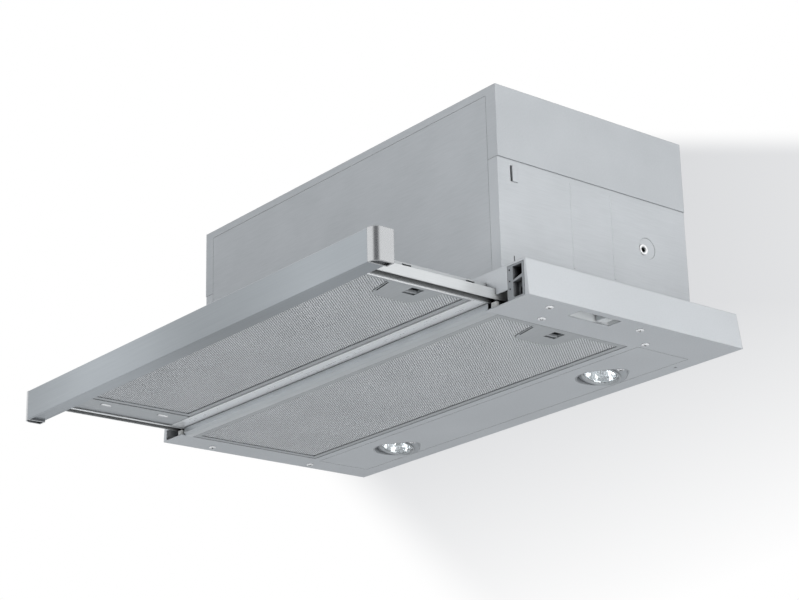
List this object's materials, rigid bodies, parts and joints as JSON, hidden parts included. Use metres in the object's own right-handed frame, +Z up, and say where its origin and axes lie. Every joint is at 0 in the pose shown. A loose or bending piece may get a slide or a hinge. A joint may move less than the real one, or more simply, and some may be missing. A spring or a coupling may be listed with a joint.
{
  "type": "telescopic built-in range hood",
  "caption": "Pull-out kitchen hood for a wall unit: a slim base with a sliding filter drawer, lamps and a centrifugal fan in the box above",
  "frame": {"origin": "centre of the duct spigot, level with the top of its flange", "axes": "+X to the right seen from the kitchen, +Y to the wall, +Z up along the duct"},
  "size_m": [0.598, 0.452, 0.261],
  "materials": {
    "base_steel": "silver-grey stove enamel on folded sheet steel",
    "box_steel": "light grey stove enamel on folded sheet steel",
    "stainless": "long-grain brushed stainless",
    "cap_metal": "satin cast end caps",
    "runner_zinc": "bright zinc-plated rolled steel",
    "filter_aluminium": "expanded aluminium mesh in a folded aluminium rim",
    "steel_hardware": "zinc-plated screws, shafts and brackets",
    "galvanised": "galvanised fan sheet",
    "dark_plastic": "moulded black plastic",
    "grey_plastic": "moulded grey plastic",
    "lamp_grey": "moulded heat-proof grey plastic",
    "white_plastic": "moulded white plastic",
    "lamp_glass": "clear cover glass",
    "reflector": "vapour-coated faceted reflector",
    "motor_steel": "laminated stack in black-painted shields"
  },
  "bodies": {
    "hood": {"base_tray": "base_steel", "front_cross_bar": "base_steel", "middle_stiffener": "base_steel", "light_panel": "base_steel", "side_panel_left": "box_steel", "side_panel_right": "box_steel", "front_panel": "box_steel", "back_panel": "box_steel", "top_cover": "box_steel", "runner_fixed_left": "runner_zinc", "runner_fixed_right": "runner_zinc", "motor_bracket": "steel_hardware", "lamp_screws": "steel_hardware", "base_screws": "steel_hardware", "scroll_shell": "galvanised", "scroll_plate_left": "galvanised", "scroll_plate_right": "galvanised", "outlet_collar": "dark_plastic", "cable_gland": "dark_plastic", "lamp_ring_left": "dark_plastic", "lamp_ring_right": "dark_plastic", "drawer_switch": "dark_plastic", "terminal_box": "dark_plastic", "end_block_right": "grey_plastic", "control_housing": "grey_plastic", "terminal_box_lid": "grey_plastic", "lamp_housing_left": "lamp_grey", "lamp_housing_right": "lamp_grey", "runner_end_stops": "white_plastic", "capacitor": "white_plastic", "lamp_capsules": "white_plastic", "lamp_glass_left": "lamp_glass", "lamp_glass_right": "lamp_glass", "lamp_reflector_left": "reflector", "lamp_reflector_right": "reflector", "motor_body": "motor_steel", "transformer": "motor_steel"},
    "drawer": {"fascia": "stainless", "fascia_cap_left": "cap_metal", "fascia_cap_right": "cap_metal", "drawer_tray": "runner_zinc", "drawer_rear_bar": "runner_zinc", "runner_moving_left": "runner_zinc", "runner_moving_right": "runner_zinc"},
    "cage_left": {"ball_cage_left": "runner_zinc"},
    "cage_right": {"ball_cage_right": "runner_zinc"},
    "fixed_filter": {"fixed_filter_frame": "filter_aluminium", "fixed_filter_mesh": "filter_aluminium", "fixed_filter_handle": "filter_aluminium"},
    "fixed_latch": {"fixed_filter_latch": "dark_plastic"},
    "drawer_filter": {"drawer_filter_frame": "filter_aluminium", "drawer_filter_mesh": "filter_aluminium", "drawer_filter_handle": "filter_aluminium"},
    "drawer_latch": {"drawer_filter_latch": "dark_plastic"},
    "rotor": {"impeller": "dark_plastic", "motor_shaft": "steel_hardware"},
    "front_flap": {"flap_front": "dark_plastic"},
    "rear_flap": {"flap_rear": "dark_plastic"},
    "speed_slider": {"control_knob": "grey_plastic"},
    "plunger": {"switch_plunger": "grey_plastic"}
  },
  "joints": [
    {"name": "drawer_slide", "type": "slide", "parent": "hood", "child": "drawer", "axis": [0, -1, 0], "range_m": [-0.152, 0]},
    {"name": "cage_left_slide", "type": "slide", "parent": "hood", "child": "cage_left", "axis": [0, -1, 0], "range_m": [-0.076, 0]},
    {"name": "cage_right_slide", "type": "slide", "parent": "hood", "child": "cage_right", "axis": [0, -1, 0], "range_m": [-0.076, 0]},
    {"name": "fixed_filter_swing", "type": "hinge", "parent": "hood", "child": "fixed_filter", "pos_m": [-0.262, -0.018, -0.23175], "axis": [0, 1, 0], "range_deg": [0, 60]},
    {"name": "fixed_latch_slide", "type": "slide", "parent": "fixed_filter", "child": "fixed_latch", "axis": [-1, 0, 0], "range_m": [0, 0.0035], "stiffness_N_per_m": 300},
    {"name": "drawer_filter_swing", "type": "hinge", "parent": "drawer", "child": "drawer_filter", "pos_m": [-0.2275, -0.198, -0.22195], "axis": [0, 1, 0], "range_deg": [0, 60]},
    {"name": "drawer_latch_slide", "type": "slide", "parent": "drawer_filter", "child": "drawer_latch", "axis": [-1, 0, 0], "range_m": [0, 0.0035], "stiffness_N_per_m": 300},
    {"name": "rotor_spin", "type": "hinge", "parent": "hood", "child": "rotor", "pos_m": [0, 0.061, -0.101], "axis": [1, 0, 0], "continuous": true},
    {"name": "front_flap_hinge", "type": "hinge", "parent": "hood", "child": "front_flap", "pos_m": [0, 0, 0.007], "axis": [-1, 0, 0], "range_deg": [0, 80]},
    {"name": "rear_flap_hinge", "type": "hinge", "parent": "hood", "child": "rear_flap", "pos_m": [0, 0, 0.007], "axis": [1, 0, 0], "range_deg": [0, 80]},
    {"name": "speed_slide", "type": "slide", "parent": "hood", "child": "speed_slider", "axis": [0, 1, 0], "range_m": [-0.03, 0]},
    {"name": "plunger_press", "type": "slide", "parent": "hood", "child": "plunger", "axis": [0, 1, 0], "range_m": [0, 0.002], "stiffness_N_per_m": 300}
  ],
  "couplings": [
    {"joint": "cage_left_slide", "follows": "drawer_slide", "ratio": 0.5},
    {"joint": "cage_right_slide", "follows": "drawer_slide", "ratio": 0.5}
  ]
}
